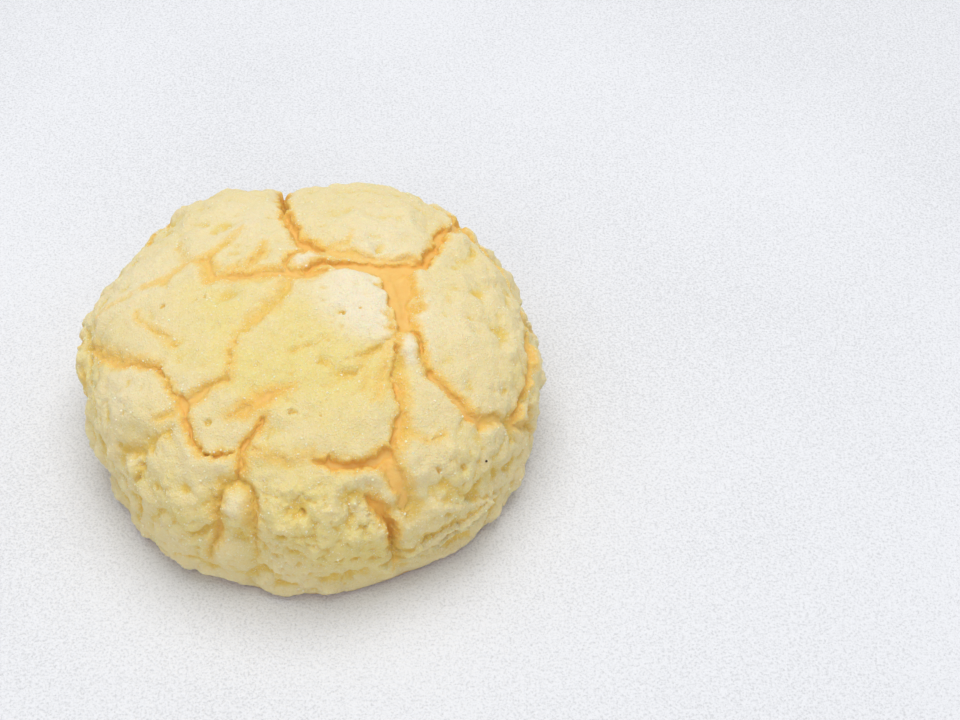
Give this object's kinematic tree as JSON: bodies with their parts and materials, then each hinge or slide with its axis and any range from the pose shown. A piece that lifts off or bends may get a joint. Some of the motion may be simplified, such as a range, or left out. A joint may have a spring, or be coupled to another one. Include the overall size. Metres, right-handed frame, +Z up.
{
  "type": "melon pan bun",
  "caption": "Whole round sweet bun with a flat underside, under a pale yellow cookie crust cracked into plates that show the bread between them.",
  "frame": {"origin": "middle of the bun's outline, on the plane of its flat underside", "axes": "+Z up out of the crown, -Y towards the side it is seen from, +X to the right"},
  "size_m": [0.1118, 0.1104, 0.0466],
  "materials": {
    "cookie_crust": "matte, sandy baked cookie dough with a few sugar crystals, orange-yellow smooth bread in the cracks, browner at the foot"
  },
  "bodies": {
    "root": {"bun": "cookie_crust"}
  },
  "joints": []
}
